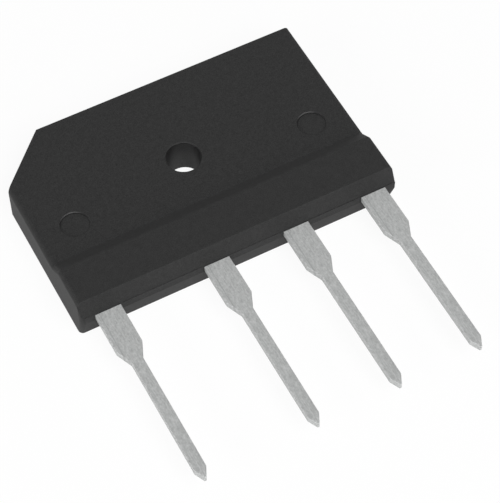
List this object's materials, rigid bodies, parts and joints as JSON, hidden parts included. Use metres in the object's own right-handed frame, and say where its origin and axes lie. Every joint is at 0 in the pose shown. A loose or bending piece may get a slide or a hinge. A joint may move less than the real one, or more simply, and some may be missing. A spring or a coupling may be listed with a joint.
{
  "type": "bridge rectifier",
  "caption": "Single in-line bridge rectifier: a flat black epoxy case with a screw hole, one cut corner and a thicker lead side, and flat leads with pointed tips.",
  "frame": {"origin": "axis of the screw hole at the flat back face", "axes": "+Z out of the front face along the screw hole, -Y along the leads, -X towards the cut corner and the plus lead"},
  "size_m": [0.0301, 0.037, 0.0047],
  "materials": {
    "black_epoxy": "matte moulded epoxy with a fine grain",
    "tinned_copper": "satin tin plate with faint lengthwise streaks",
    "bare_copper": "bare rolled copper",
    "solder": "dull reflowed solder",
    "silicon": "dark polished silicon"
  },
  "bodies": {
    "root": {"case": "black_epoxy", "lead_plus": "tinned_copper", "lead_ac_1": "tinned_copper", "lead_ac_2": "tinned_copper", "lead_minus": "tinned_copper", "solder_base_1": "solder", "die_1": "silicon", "solder_top_1": "solder", "jumper_1": "bare_copper", "solder_foot_1": "solder", "solder_base_2": "solder", "die_2": "silicon", "solder_top_2": "solder", "jumper_2": "bare_copper", "solder_foot_2": "solder", "solder_base_3": "solder", "die_3": "silicon", "solder_top_3": "solder", "jumper_3": "bare_copper", "solder_foot_3": "solder", "solder_base_4": "solder", "die_4": "silicon", "solder_top_4": "solder", "jumper_4": "bare_copper", "solder_foot_4": "solder"}
  },
  "joints": []
}
